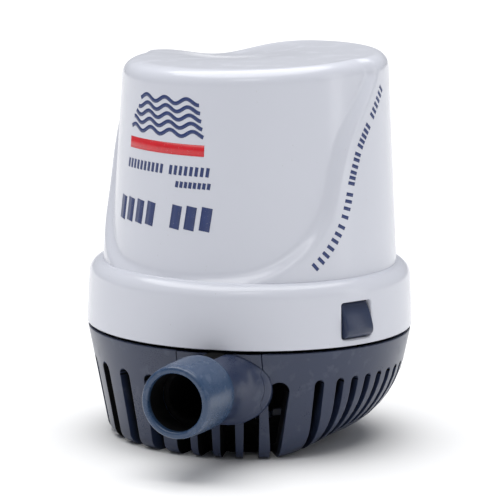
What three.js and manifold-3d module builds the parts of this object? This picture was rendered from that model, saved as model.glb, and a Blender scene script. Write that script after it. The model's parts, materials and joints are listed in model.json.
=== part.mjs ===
// Submersible bilge pump: a slotted strainer base that stays screwed to the hull, and a pump body that
// clips onto it, with a tangential hose outlet, a vertical brushed motor and an electronic level switch.
// Millimetres, +Z up. The origin is the middle of the base's underside and the outlet points along -Y.
import * as THREE from "three";
import { mergeVertices } from "three/addons/utils/BufferGeometryUtils.js";
import Module from "manifold-3d";

const wasm = await Module();
wasm.setup();

// ---- driving dimensions ----------------------------------------------------------------------------

const gap = 0.3; // between pieces that touch on the real pump
const planX = 64.8; // half width of the body at the parting line, along X
const planY = 63.6; // the same along Y
const baseRim = 43.9; // top of the strainer base
const capFoot = 45.2; // bottom edge of the cap
const shoulder = 70.5; // where the cap's tower leaves its skirt
const towerFoot = 58.6; // tower radius at the shoulder
const towerLean = 0.055; // tower radius lost per millimetre of height
const capWall = 2.6;
const panelTurn = -97.5; // plan angle that the cap's label panel faces, in degrees
const panelDepth = 3.2; // the panel lies this far under the rest of the tower
const bevelWidth = 5.5; // width of the step round the panel
const latchAngle = -25; // plan angle of the right release button; the left one is opposite
const latchWidth = 13.6;

const wallLean = 0.203; // strainer wall radius lost per millimetre downwards
const bilgeAngle = 22; // plan angle of the side with the large underside radius
const underside = { foot: 6, bilge: 40 }; // corner radius under the base, plain and on the bilge side
const bowl = { foot: 8, bilge: 28 }; // the same for the hollow inside
const baseFloor = 3;
const slotTop = 32.3;

const outletX = 14.3; // the outlet's axis runs along Y at this X and Z
const outletZ = 31.5;
const outletEnd = -99;
const hoseRadius = 14.3; // for a hose of 28.6 mm inside diameter
const outletBore = 11.3;
const neckRadius = 12.8;
const barrelEnd = -74.6;
const plateHalf = 16.2; // half width of the plate that fills the rim notch under the outlet

const voluteRadius = 28;
const voluteWall = 3.5;
const voluteFloor = 15.5;
const voluteCeiling = 43;
const flangeBottom = 41;
const flangeTop = 50;
const flangeInset = 3; // flange edge inside the parting-line outline

const shaftRadius = 2.5;
const impellerRadius = 20;
const motorRadius = 31;
const motorBottom = 57;
const motorTop = 131;

const deg = Math.PI / 180;
const smooth = (t) => {
  const s = Math.min(1, Math.max(0, t));
  return s * s * (3 - 2 * s);
};

// ---- finishes --------------------------------------------------------------------------------------

const finish = (color, roughness, metalness) => ({ color, roughness, metalness });
const finishes = {
  whitePlastic: finish(0xe9ebf0, 0.25, 0),
  slatePlastic: finish(0x414a5e, 0.35, 0),
  outletPlastic: finish(0x4a5a78, 0.35, 0),
  blackPlastic: finish(0x17181b, 0.5, 0),
  naturalPlastic: finish(0xd8d0b8, 0.45, 0),
  rubber: finish(0x101112, 0.8, 0),
  steel: finish(0xa7aab0, 0.3, 1),
  zincSteel: finish(0x8d9196, 0.35, 1),
  brass: finish(0xc8a04c, 0.3, 1),
  bronze: finish(0x9a6a3a, 0.4, 1),
  copper: finish(0xb0602c, 0.35, 1),
  ferrite: finish(0x2c2c2e, 0.7, 0.1),
  carbon: finish(0x222222, 0.75, 0.2),
  circuitGreen: finish(0x1f5b36, 0.45, 0),
  lens: finish(0x40242a, 0.1, 0),
};

// ---- shape helpers ---------------------------------------------------------------------------------

// A closed three.js geometry as a manifold-3d solid, turned right side out if its faces point inwards.
function solid(geometry) {
  const bare = geometry.index ? geometry.toNonIndexed() : geometry.clone();
  bare.deleteAttribute("normal");
  bare.deleteAttribute("uv");
  const merged = mergeVertices(bare, 1e-4);
  const build = (index) =>
    new wasm.Manifold(
      new wasm.Mesh({
        numProp: 3,
        vertProperties: new Float32Array(merged.attributes.position.array),
        triVerts: new Uint32Array(index),
      }),
    );
  const index = [...merged.index.array];
  const made = build(index);
  return made.volume() > 0 ? made : build(index.reverse());
}

function geometryOf(shape) {
  const mesh = shape.getMesh();
  const geometry = new THREE.BufferGeometry();
  geometry.setAttribute("position", new THREE.BufferAttribute(mesh.vertProperties, 3));
  geometry.setIndex(new THREE.BufferAttribute(mesh.triVerts, 1));
  geometry.computeVertexNormals();
  return geometry;
}

const join = (shapes) => shapes.reduce((whole, shape) => whole.add(shape));
const cut = (shape, tools) => tools.reduce((rest, tool) => rest.subtract(tool), shape);

// A box between two corners.
function box(low, high) {
  const size = high.map((v, i) => v - low[i]);
  const geometry = new THREE.BoxGeometry(...size);
  return solid(geometry.translate(...low.map((v, i) => v + size[i] / 2)));
}

// A vertical cylinder.
function rod(radius, bottom, top, x = 0, y = 0, sides = 16) {
  const geometry = new THREE.CylinderGeometry(radius, radius, top - bottom, sides);
  return solid(geometry.rotateX(Math.PI / 2).translate(x, y, (bottom + top) / 2));
}

// A solid of revolution about Z from [radius, height] points that close on the axis or on themselves.
function turned(points, sides = 18) {
  const profile = points.map(([radius, height]) => new THREE.Vector2(radius, height));
  return solid(new THREE.LatheGeometry(profile, sides).rotateX(Math.PI / 2));
}

const ring = (outer, inner, bottom, top, sides = 18) =>
  turned([[inner, bottom], [outer, bottom], [outer, top], [inner, top], [inner, bottom]], sides);

// The same about an axis along Y through (x, z), with heights measured towards -Y from y.
const turnedOutwards = (points, x, y, z, sides = 18) =>
  turned(points, sides).rotate([90, 0, 0]).translate([x, y, z]);

// A closed skin of rings. place(row, angle) gives the point; the first and last row are single points.
function skinned(rows, columns, place) {
  const geometry = new THREE.SphereGeometry(1, columns, rows);
  const position = geometry.attributes.position;
  for (let i = 0; i < position.count; i++) {
    const row = Math.floor(i / (columns + 1));
    const column = i % (columns + 1) % columns;
    position.setXYZ(i, ...place(row, (column / columns) * 2 * Math.PI));
  }
  return solid(geometry);
}

// A skin through rings listed as [radius(angle), height(angle)], with its poles at the given heights.
function skinThrough(startHeight, rings, endHeight, columns) {
  return skinned(rings.length + 1, columns, (row, angle) => {
    if (row === 0) return [0, 0, startHeight];
    if (row === rings.length + 1) return [0, 0, endHeight];
    const [radius, height] = rings[row - 1](angle);
    return [radius * Math.cos(angle), radius * Math.sin(angle), height];
  });
}

// A shape drawn in plan at the body's edge (x outwards, y sideways), turned to a plan angle.
const atAngle = (shape, angle) => shape.rotate([0, 0, angle]);

const group = new THREE.Group();

function addNode(name, shape, look, place = [0, 0, 0]) {
  const mesh = new THREE.Mesh(geometryOf(shape), new THREE.MeshStandardMaterial(finishes[look]));
  mesh.name = name;
  mesh.position.set(...place);
  group.add(mesh);
}

// ---- outlines --------------------------------------------------------------------------------------

// Radius of the parting-line outline towards a plan angle.
const planRadius = (angle) => 1 / Math.hypot(Math.cos(angle) / planX, Math.sin(angle) / planY);

// 0 on most of the outline and 1 on the bilge side.
const bilgeShare = (angle) => smooth((Math.cos(angle - bilgeAngle * deg) - 0.15) / 0.75);

// ---- strainer base ---------------------------------------------------------------------------------

// One ring of the underside corner, from share 0 at the floor to 1 where it meets the leaning wall.
function cornerRing(share, corner = underside) {
  const lean = Math.atan(wallLean);
  return (angle) => {
    const round = corner.foot + (corner.bilge - corner.foot) * bilgeShare(angle);
    const tangentHeight = round * (1 - Math.sin(lean));
    const wall = planRadius(angle) - (baseRim - tangentHeight) * wallLean;
    const turn = -Math.PI / 2 + share * (Math.PI / 2 - lean);
    const centre = wall - round * Math.cos(lean);
    return [centre + round * Math.cos(turn), round + round * Math.sin(turn)];
  };
}

const wallRing = (height, inset) => (angle) =>
  [planRadius(angle) - (baseRim - height) * wallLean - inset, height];

function strainerShell() {
  const corner = [0, 0.25, 0.5, 0.75, 1];
  const finDepth = 9;
  return skinThrough(
    0,
    [
      ...corner.map((share) => cornerRing(share)),
      wallRing(34, 0),
      wallRing(baseRim, 0),
      wallRing(baseRim, 1.8),
      wallRing(40.6, 1.8),
      wallRing(40.6, 3.4),
      wallRing(33, 3.4),
      wallRing(27, finDepth),
      (angle) => {
        const [radius, height] = cornerRing(0.62, bowl)(angle);
        return [radius - finDepth, Math.max(height, baseFloor + 2)];
      },
      (angle) => [cornerRing(0.3, bowl)(angle)[0] - finDepth - 2, baseFloor],
    ],
    baseFloor,
    48,
  );
}

// Plan angle, width and bottom share of each intake slot: coarse on the left, close under the outlet,
// one wide tapered slot beside it, and fine ones round the bilge side.
function slotList() {
  const slots = [];
  for (let angle = -232.2; angle < -118; angle += 14.2) slots.push({ angle, width: 6.4, share: 0.95 });
  slots.push({ angle: -104.8, width: 6.2, share: 1 });
  for (let angle = -92.2; angle < -64; angle += 9.3) slots.push({ angle, width: 6, share: 1 });
  slots.push({ angle: -54.5, width: 8.6, share: 0.38 }, { angle: -39, width: 4.1, share: 0.95 });
  for (let angle = -30.3; angle < 106; angle += 6.7) slots.push({ angle, width: 3.6, share: 0.95 });
  return slots;
}

// A round-topped slot tool that narrows downwards to the given share of its width.
function slotTool({ angle, width, share }) {
  const outline = new THREE.Shape();
  const half = width / 2;
  const foot = half * share;
  const bottom = -1 + 10.5 * bilgeShare(angle * deg) ** 2;
  outline.moveTo(-foot, bottom);
  outline.lineTo(foot, bottom);
  outline.lineTo(half, slotTop - half);
  outline.absarc(0, slotTop - half, half, 0, Math.PI);
  outline.lineTo(-foot, bottom);
  const depth = 34;
  const geometry = new THREE.ExtrudeGeometry(outline, { depth, bevelEnabled: false, curveSegments: 4 });
  geometry.rotateX(Math.PI / 2).rotateZ(Math.PI / 2).translate(40, 0, 0);
  return atAngle(solid(geometry), angle);
}

// The U-shaped notch in the rim that the outlet drops into.
function notchTool(halfWidth) {
  const outline = new THREE.Shape();
  outline.moveTo(-halfWidth, baseRim + 4);
  outline.lineTo(-halfWidth, outletZ);
  outline.absarc(0, outletZ, halfWidth, Math.PI, 2 * Math.PI);
  outline.lineTo(halfWidth, baseRim + 4);
  const geometry = new THREE.ExtrudeGeometry(outline, { depth: 40, bevelEnabled: false, curveSegments: 12 });
  return solid(geometry.rotateX(Math.PI / 2).translate(outletX, -40, 0));
}

// Screw holes in two raised pads on the floor.
const padPlaces = [[-24, 17], [24, 17]];

function makeStrainer() {
  const shell = strainerShell();
  const pads = padPlaces.map(([x, y]) => rod(7, 1, 5, x, y));
  const holes = padPlaces.map(([x, y]) => rod(2.4, -1, 9, x, y, 20));
  // Catch ledges for the latch hooks.
  const catches = [0, 180].map((turn) => atAngle(box([57.8, -9, 38], [61.5, 9, 40.6]), latchAngle + turn));
  const wells = [0, 180].map((turn) => atAngle(box([50, -9.5, 33.4], [59.6, 9.5, 38]), latchAngle + turn));
  const slots = slotList().map(slotTool);
  const body = cut(join([shell, ...pads]), [notchTool(plateHalf + gap), ...slots, ...wells, ...holes]);
  return { shell, base: body.add(join(catches)) };
}

const strainer = makeStrainer();
addNode("strainer_base", strainer.base, "slatePlastic");

// ---- cap -------------------------------------------------------------------------------------------

// The panel's right edge as [degrees from the panel's middle, height]; the left edge mirrors it.
const panelEdge = new THREE.SplineCurve(
  [[0, 69.5], [32, 72.4], [51, 81.5], [63, 95.5], [69.5, 115], [78, 130.5], [104, 158]]
    .map(([turn, height]) => new THREE.Vector2(turn * deg * 55, height)),
).getPoints(40);

// How far a point of the tower is inside the panel's edge: 0 outside, 1 inside past the bevel.
function panelShare(angle, height) {
  let turn = (((angle / deg - panelTurn) % 360) + 540) % 360 - 180;
  turn = Math.abs(turn) * deg * 55;
  let nearest = Infinity;
  let inside = false;
  panelEdge.forEach((point) => {
    const distance = Math.hypot(point.x - turn, point.y - height);
    if (distance < nearest) {
      nearest = distance;
      inside = height > point.y - (point.x - turn) * 0.6 && turn < point.x + 6;
    }
  });
  return smooth(((inside ? nearest : -nearest) + bevelWidth / 2) / bevelWidth);
}

// Height of the top surface: a tilted dish with a valley running out to the rear left.
function topHeight(x, y) {
  const across = (x * Math.cos(130 * deg) + y * Math.sin(130 * deg)) / 52;
  const beside = (x * Math.sin(130 * deg) - y * Math.cos(130 * deg)) / 52;
  const tilt = (x * Math.cos(28 * deg) + y * Math.sin(28 * deg)) / 52;
  const valley = 5 * smooth((across + 0.35) / 1.3) * Math.exp(-((beside / 0.4) ** 2));
  return 152.2 + 2 * tilt - valley;
}

const skirtRadius = (angle, height) => planRadius(angle) + 0.4 - (height - capFoot) * 0.04;

function towerRadius(angle, height) {
  const plain = towerFoot - (height - shoulder) * towerLean;
  return plain - panelDepth * panelShare(angle, height);
}

// The cap's outer skin, or the same moved inwards by a wall thickness.
function capSkin(inset, columns, towerRows, roundRings = 3, topRings = 4) {
  const skirtRound = 6;
  const topRound = 6;
  const skirtTop = shoulder - skirtRound - inset * 0.6;
  const rings = [];
  const foot = capFoot - (inset ? 1 : 0);
  [foot, (foot + skirtTop) / 2, skirtTop].forEach((height) =>
    rings.push((angle) => [skirtRadius(angle, height) - inset, height]));
  const shares = Array.from({ length: roundRings }, (_, i) => (i + 1) / (roundRings + 1));
  shares.forEach((share) =>
    rings.push((angle) => {
      const outer = skirtRadius(angle, skirtTop) - inset;
      const inner = towerRadius(angle, shoulder) - inset;
      const reach = Math.min(skirtRound, outer - inner);
      const turn = share * (Math.PI / 2);
      return [outer - reach * (1 - Math.cos(turn)), skirtTop + skirtRound * Math.sin(turn)];
    }));
  for (let row = 0; row <= towerRows; row++)
    rings.push((angle) => {
      const edge = topHeight(52 * Math.cos(angle), 52 * Math.sin(angle)) - topRound - inset * 0.7;
      const height = shoulder - inset * 0.6 + (row / towerRows) * (edge - shoulder + inset * 0.6);
      return [towerRadius(angle, height) - inset, height];
    });
  const topEdge = (angle) => {
    const edge = topHeight(52 * Math.cos(angle), 52 * Math.sin(angle)) - topRound - inset * 0.7;
    return [towerRadius(angle, edge) - inset, edge];
  };
  const round = topRound - inset * 0.3;
  shares.forEach((share) =>
    rings.push((angle) => {
      const [radius, edge] = topEdge(angle);
      const turn = share * (Math.PI / 2);
      return [radius - round * (1 - Math.cos(turn)), edge + round * Math.sin(turn)];
    }));
  for (let ringsLeft = topRings; ringsLeft > 0; ringsLeft--)
    rings.push((angle) => {
      const [radius] = topEdge(angle);
      const reach = (radius - round) * (ringsLeft / topRings);
      return [reach, topHeight(reach * Math.cos(angle), reach * Math.sin(angle)) - inset];
    });
  return skinThrough(foot, rings, topHeight(0, 0) - inset, columns);
}

const latchTurns = { right: latchAngle, left: latchAngle + 180 };
const caseScrewAngles = [20, 110, 200, 245];
const caseScrewReach = 52.4;
const caseScrewPlaces = caseScrewAngles.map((turn) =>
  [caseScrewReach * Math.cos(turn * deg), caseScrewReach * Math.sin(turn * deg)]);
const glandPlace = { x: -12, z: 59.5 };
const glandFace = 64.6;
const glandBack = 57.4;

function makeCap() {
  const shell = capSkin(0, 48, 11).subtract(capSkin(capWall, 36, 6, 1, 2));
  const bosses = caseScrewPlaces.map(([x, y]) => rod(4, flangeTop + gap, 84, x, y, 10));
  const trimmed = join(bosses).intersect(capSkin(1.3, 36, 6, 1, 2));
  const windows = Object.values(latchTurns).map((turn) =>
    atAngle(box([56, -latchWidth / 2 - 0.8, 47.8], [70, latchWidth / 2 + 0.8, 62.2]), turn));
  const pilots = caseScrewPlaces.map(([x, y]) => rod(1.9, 40, 66, x, y, 10));
  const along = (radius, from, to) =>
    turnedOutwards(
      [[0, 0], [radius, 0], [radius, from - to], [0, from - to]], glandPlace.x, from, glandPlace.z, 20);
  const glandBoss = along(8.2, glandFace, glandBack);
  return cut(join([shell, trimmed, glandBoss]), [...windows, ...pilots, along(5.3, 70, 50)]);
}

addNode("cap", makeCap(), "whitePlastic");

// ---- release latches -------------------------------------------------------------------------------

const latchPivot = { reach: 56.2, height: 63.4 };

// A button on a flexing arm with a hook at its foot, drawn pointing outwards along +X.
function makeLatch() {
  const side = new THREE.Shape();
  const faceTop = planX - 1.4;
  side.moveTo(54.9, 35);
  side.lineTo(59.2, 35);
  side.lineTo(59.2, 37.6);
  side.lineTo(57.2, 37.6);
  side.lineTo(57.2, 48.4);
  side.lineTo(faceTop + 1.6, 48.4);
  side.quadraticCurveTo(faceTop + 3.6, 50, faceTop + 3, 53);
  side.quadraticCurveTo(faceTop + 1.6, 58, faceTop - 1.4, 61.6);
  side.lineTo(57.2, 61.6);
  side.absarc(latchPivot.reach, latchPivot.height, 1.6, 0, Math.PI);
  side.lineTo(54.9, 35);
  const geometry = new THREE.ExtrudeGeometry(
    side, { depth: latchWidth, bevelEnabled: false, curveSegments: 6 });
  return solid(geometry.rotateX(Math.PI / 2).translate(0, latchWidth / 2, 0));
}

Object.entries(latchTurns).forEach(([side, turn]) =>
  addNode("latch_" + side, atAngle(makeLatch(), turn), "slatePlastic"));

// ---- pump casing and outlet ------------------------------------------------------------------------

const coverScrewPlaces = [35, 125, 215, 305].map((turn) =>
  [31 * Math.cos(turn * deg), 31 * Math.sin(turn * deg)]);

function flangePlate(inset, bottom, top) {
  const edge = (height) => (angle) => [planRadius(angle) - inset, height];
  return skinThrough(bottom, [edge(bottom), edge(top)], top, 40);
}

const seatY = barrelEnd + 1.6; // shoulder of the neck that the barrel's seal rests on
const spigotEnd = -84;
const spigotRadius = 11.6;

// The neck widens into a collar that stands just clear of the base's wall, to the right of the outlet.
// Each ring: sideways shift, Y, shift in height, half width, half height and yaw in degrees.
const hornRings = [
  [0, seatY, 0, neckRadius, neckRadius, 0], [0, -69.5, 0, neckRadius, neckRadius, 0],
  [0.3, -66, -0.1, 13, neckRadius, 5], [1.2, -63, -0.5, 13.9, 13.1, 11], [2.4, -61.2, -1, 15.4, 13.8, 17],
  [3.7, -59, -1.5, 16.8, 14.5, 22], [3.8, -57.4, -1.5, 16.7, 14.4, 22], [3.8, -46, -1.5, 16.5, 14.2, 22],
];

function makeHorn() {
  return skinned(hornRings.length + 1, 28, (row, angle) => {
    const ringAt = hornRings[Math.min(hornRings.length, Math.max(1, row)) - 1];
    const [shift, y, lift, wide, tall, yaw] = ringAt;
    const share = row === 0 || row > hornRings.length ? 0 : 1;
    const across = share * wide * Math.cos(angle);
    return [outletX + shift + across * Math.cos(yaw * deg), y + across * Math.sin(yaw * deg),
      outletZ + lift + share * tall * Math.sin(angle)];
  });
}

// The solid form of the strainer's wall, swollen by the gap.
function wallForm() {
  const grown = (ringOf) => (angle) => {
    const [radius, height] = ringOf(angle);
    return [radius + gap, height];
  };
  const corner = [0, 0.25, 0.5, 0.75, 1].map((share) => grown(cornerRing(share)));
  return skinThrough(-gap, [...corner, grown(wallRing(34, 0)), grown(wallRing(60, 0))], 60, 48);
}

// What the base's leaning wall sweeps as the pump body lifts, which the horn keeps out of: the rim's
// outline beside the notch, and the wall lowered step by step under the notch's round end.
function liftPath() {
  const edge = (height) => (angle) => [planRadius(angle) + gap, height];
  const rimForm = skinThrough(0, [edge(0), edge(60)], 60, 48);
  const beside = rimForm.subtract(box([outletX - plateHalf, -90, -1], [outletX + plateHalf, 0, 61]));
  const wall = wallForm().subtract(notchTool(plateHalf));
  return [beside, ...[1.5, 3, 4.5, 6, 7.5].map((lift) => wall.translate([0, 0, -lift]))];
}

function makeVoluteHousing() {
  const horn = cut(makeHorn(), [wallForm(), ...liftPath()]);
  const outer = join([
    rod(voluteRadius + voluteWall, voluteFloor, flangeTop - 1, 0, 0, 36),
    flangePlate(flangeInset, flangeBottom, flangeTop),
    ...coverScrewPlaces.map(([x, y]) => rod(4, voluteFloor, flangeTop - 1, x, y, 14)),
    ring(motorRadius, 20, flangeTop - 1, motorBottom - gap),
    strainer.shell.intersect(notchTool(plateHalf)).intersect(
      box([-5, -80, 10], [40, -40, baseRim - 0.2])),
    horn.intersect(box([-20, -90, 5], [60, -30, baseRim - 0.2])),
    // The neck inside the wall, and the spigot that the barrel slides over.
    turnedOutwards(
      [[0, 0], [neckRadius, 0], [neckRadius, -seatY - 1], [spigotRadius, -seatY - 1],
        [spigotRadius, -spigotEnd], [0, -spigotEnd]],
      outletX, 0, outletZ, 28).intersect(box([-5, -90, 5], [40, 10, 44.6])),
  ]);
  const sealPocket = rod(8, 40, flangeTop - 2.5);
  const notches = Object.values(latchTurns).map((turn) =>
    atAngle(box([51.8, -latchWidth / 2 - 0.8, 30], [70, latchWidth / 2 + 0.8, 52]), turn));
  return cut(outer, [
    rod(voluteRadius, voluteFloor - 1, voluteCeiling, 0, 0, 36),
    turnedOutwards([[0, 0], [9.6, 0], [9.6, 90], [0, 90]], outletX, 0, outletZ),
    sealPocket,
    rod(4.2, 40, 70),
    ...notches,
    ...coverScrewPlaces.map(([x, y]) => rod(1.9, 10, 28, x, y, 10)),
    ...caseScrewPlaces.map(([x, y]) => rod(2.2, 40, 52, x, y, 10)),
    ...motorBoltPlaces.map(([x, y]) => rod(2, flangeTop - 4, 60, x, y, 10)),
    rod(6.4, 30, 60, ...sensorPlace),
  ]);
}

const motorBoltPlaces = [[0, 26.6], [0, -26.6]];
const sensorPlace = [-38.5, 21];

addNode("volute_housing", makeVoluteHousing(), "slatePlastic");

function makeNozzle() {
  const length = barrelEnd - outletEnd;
  const lip = 1.1;
  const profile = [
    [12.1, 0], [hoseRadius - 0.9, 0], [hoseRadius - 0.1, 1.4], [hoseRadius + 0.25, 5],
    [hoseRadius + 0.1, 13], [hoseRadius - 0.2, length - lip - 1.2], [hoseRadius - 0.5, length - lip * 0.5],
    [hoseRadius - lip, length], [outletBore + 0.7, length], [outletBore, length - 0.8],
    [outletBore, 10.6], [12.1, 10.6], [12.1, 0],
  ];
  return turnedOutwards(profile, outletX, barrelEnd, outletZ, 28);
}

addNode("outlet_nozzle", makeNozzle(), "outletPlastic");
addNode(
  "nozzle_seal",
  turnedOutwards([[11.9, 0], [12.9, 0], [12.9, 1], [11.9, 1], [11.9, 0]], outletX, barrelEnd + 1.3, outletZ),
  "rubber",
);

function makeInletCover() {
  const plate = join([
    rod(voluteRadius + voluteWall, 12.4, voluteFloor - gap, 0, 0, 36),
    ...coverScrewPlaces.map(([x, y]) => rod(4, 12.4, voluteFloor - gap, x, y, 14)),
    ring(14, 11, 10.4, voluteFloor - gap),
  ]);
  const eye = rod(11, 5, 25, 0, 0, 28);
  return cut(plate, [eye, ...coverScrewPlaces.map(([x, y]) => rod(1.9, 5, 25, x, y, 10))]);
}

addNode("inlet_cover", makeInletCover(), "slatePlastic");

// A pan-head screw standing head down at the origin.
const screwUp = (head, shank, length) =>
  turned([[0, -head * 0.7], [head * 0.8, -head * 0.7], [head, -head * 0.3], [head, 0],
    [shank, 0], [shank, length - 1], [0, length]], 10);

coverScrewPlaces.forEach(([x, y], i) =>
  addNode("cover_screw_" + (i + 1), screwUp(3, 1.6, 13), "steel", [x, y, 12.4 - gap]));
caseScrewPlaces.forEach(([x, y], i) =>
  addNode("case_screw_" + (i + 1), screwUp(3.4, 1.6, 20), "steel", [x, y, flangeBottom - gap]));

// ---- rotating parts --------------------------------------------------------------------------------

function makeImpeller() {
  const vaneCount = 6;
  const vanes = Array.from({ length: vaneCount }, (_, i) => {
    const inner = 7;
    const path = new THREE.QuadraticBezierCurve(
      new THREE.Vector2(inner, 0), new THREE.Vector2(14, -1), new THREE.Vector2(16.4, -10.6));
    const points = path.getPoints(4);
    const side = (offset) => points.map((point, k) => {
      const ahead = points[Math.min(k + 1, 4)];
      const behind = points[Math.max(k - 1, 0)];
      const along = ahead.clone().sub(behind).normalize();
      return new THREE.Vector2(point.x - along.y * offset, point.y + along.x * offset);
    });
    const outline = new THREE.Shape([...side(0.8), ...side(-0.8).reverse()]);
    const geometry = new THREE.ExtrudeGeometry(outline, { depth: 9, bevelEnabled: false });
    return solid(geometry.translate(0, 0, 20)).rotate([0, 0, (i * 360) / vaneCount]);
  });
  const disc = turned([[0, 20], [4.5, 18.6], [7.6, 20], [8, 27.6], [impellerRadius, 28.4],
    [impellerRadius, 30], [8, 31], [6, 38], [0, 38]]);
  return cut(join([disc, ...vanes]), [rod(shaftRadius + gap, 21, 40, 0, 0, 24)]);
}

addNode("impeller", makeImpeller(), "naturalPlastic");
addNode(
  "motor_shaft",
  turned([[0, 21.4], [shaftRadius - 0.4, 21.4], [shaftRadius, 22], [shaftRadius, 137],
    [shaftRadius - 0.5, 137.6], [0, 137.6]], 24),
  "steel",
);

const coreBottom = 73;
const coreTop = 108;
const coreRadius = 22.6;
const coreSlots = 5;

function aroundCore(make) {
  return Array.from({ length: coreSlots }, (_, i) => make().rotate([0, 0, (i * 360) / coreSlots]));
}

function makeCore() {
  const slots = aroundCore(() =>
    rod(5.6, coreBottom - 1, coreTop + 1, 14.6, 0, 12).add(
      box([14, -1.2, coreBottom - 1], [24, 1.2, coreTop + 1])));
  return cut(rod(coreRadius, coreBottom, coreTop, 0, 0, 40), [
    rod(shaftRadius + gap, coreBottom - 1, coreTop + 1, 0, 0, 24), ...slots]);
}

function makeWinding() {
  const coilEnd = (bottom, top) =>
    turned([[5, bottom + 2], [8, bottom], [17, bottom], [20.4, bottom + 3], [20.4, top - 1.5],
      [18, top], [7, top], [5, top - 1.5], [5, bottom + 2]], 24);
  const bars = aroundCore(() => rod(5.2, coreBottom - 2, coreTop + 2, 14.6, 0, 12));
  return join([coilEnd(64, coreBottom - gap), coilEnd(coreTop + gap, 117), ...bars]);
}

function makeCommutator() {
  const grooves = aroundCore(() => box([5.6, -0.3, 119.6], [9, 0.3, 129]));
  return cut(ring(7.2, shaftRadius + gap, 118.4, 128), grooves);
}

addNode("armature_core", makeCore(), "zincSteel");
addNode("armature_winding", makeWinding(), "copper");
addNode("commutator", makeCommutator(), "copper");
addNode("thrust_washer", ring(5.4, shaftRadius + gap, 60, 61.2, 24), "naturalPlastic");

// ---- shaft seal, bearings and motor frame ----------------------------------------------------------

addNode("shaft_seal",
  turned([[2.7, 44.6], [3.2, 44], [7.6, 44], [7.6, 47.2], [3.4, 47.2], [2.7, 46], [2.7, 44.6]]), "rubber");
addNode("seal_retainer", ring(7.6, 6.6, 42, 43.6), "brass");

const bearing = (bottom, top) => ring(5.6, shaftRadius + 0.1, bottom, top, 32);
addNode("lower_bearing", bearing(53.4, 59), "bronze");
addNode("upper_bearing", bearing(132, 137), "bronze");

function makeMotorCan() {
  const wall = 1.7;
  const cup = turned([
    [5.9, 53], [7.9, 53], [7.9, motorBottom], [motorRadius - 2, motorBottom], [motorRadius, motorBottom + 2],
    [motorRadius, motorTop], [motorRadius - wall, motorTop], [motorRadius - wall, motorBottom + 3],
    [motorRadius - 4, motorBottom + wall], [5.9, motorBottom + wall], [5.9, 53],
  ], 28);
  return cut(cup, motorBoltPlaces.map(([x, y]) => rod(2, motorBottom - 2, motorBottom + 4, x, y, 10)));
}

function makeMagnet() {
  const half = 62 * deg;
  const outline = new THREE.Shape();
  outline.absarc(0, 0, motorRadius - 2, -half, half);
  outline.absarc(0, 0, coreRadius + 0.9, half, -half, true);
  const geometry = new THREE.ExtrudeGeometry(outline, { depth: 44, bevelEnabled: false, curveSegments: 12 });
  return solid(geometry.translate(0, 0, 68));
}

addNode("motor_can", makeMotorCan(), "zincSteel");
addNode("magnet_right", makeMagnet(), "ferrite");
addNode("magnet_left", makeMagnet().rotate([0, 0, 180]), "ferrite");

function makeBrushPlate() {
  const plate = rod(motorRadius - 2.2, 118.2, 120, 0, 0, 28);
  return cut(plate, [rod(9.4, 117, 122), ...motorBoltPlaces.map(([x, y]) => rod(2.4, 117, 122, x, y, 10))]);
}

function makeEndCap() {
  const plate = turned([[0, 139.6], [5, 139.6], [8, 138.6], [8, 134.4], [motorRadius - 1, 134.4],
    [motorRadius, 133.4], [motorRadius, motorTop + gap], [0, motorTop + gap]], 28);
  return cut(plate, [
    rod(5.9, motorTop, 137.3), rod(3.2, motorTop, 138.4),
    ...motorBoltPlaces.map(([x, y]) => rod(2, motorTop, 136, x, y, 10))]);
}

addNode("brush_plate", makeBrushPlate(), "blackPlastic");
addNode("motor_end_cap", makeEndCap(), "blackPlastic");
motorBoltPlaces.forEach(([x, y], i) =>
  addNode("motor_bolt_" + (i + 1),
    turned([[0, 47], [1.6, 47], [1.6, 134.7], [3.2, 134.7], [3.2, 136], [2.6, 137], [0, 137]], 10),
    "steel", [x, y, 0]));

// ---- brushes ---------------------------------------------------------------------------------------

const brushMiddle = 124;

function makeBrushSpring() {
  class Coil extends THREE.Curve {
    getPoint(t, target = new THREE.Vector3()) {
      const turn = t * 3.5 * 2 * Math.PI;
      return target.set(16.8 + 8 * t, 1.5 * Math.cos(turn), brushMiddle + 1.5 * Math.sin(turn));
    }
  }
  const section = new THREE.Shape().absarc(0, 0, 0.3, 0, 2 * Math.PI);
  return solid(new THREE.ExtrudeGeometry(section,
    { steps: 28, extrudePath: new Coil(), bevelEnabled: false, curveSegments: 3 }));
}

[["right", 0], ["left", 180]].forEach(([side, turn]) => {
  const holder = box([9.6, -3.6, 120.3], [26.2, 3.6, 127.8]).subtract(
    box([8, -2.7, brushMiddle - 2.7], [25.2, 2.7, brushMiddle + 2.7]));
  addNode("brush_holder_" + side, holder.rotate([0, 0, turn]), "brass");
  addNode("brush_" + side,
    box([7.5, -2.4, brushMiddle - 2.4], [16, 2.4, brushMiddle + 2.4]).rotate([0, 0, turn]), "carbon");
  addNode("brush_spring_" + side, makeBrushSpring().rotate([0, 0, turn]), "steel");
});

// ---- level switch ----------------------------------------------------------------------------------

const boardX = 6;
const boardY = 40;

function makeBoard() {
  const board = box([boardX - 19, boardY, 60], [boardX + 19, boardY + 1.6, 112]);
  const hole = (x, z) => turnedOutwards([[0, 0], [1.7, 0], [1.7, 10], [0, 10]], x, boardY + 5, z, 10);
  return cut(board, boardScrewPlaces.map(([x, z]) => hole(x, z)));
}

const boardScrewPlaces = [[boardX - 15.5, 64], [boardX + 15.5, 64]];

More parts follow.
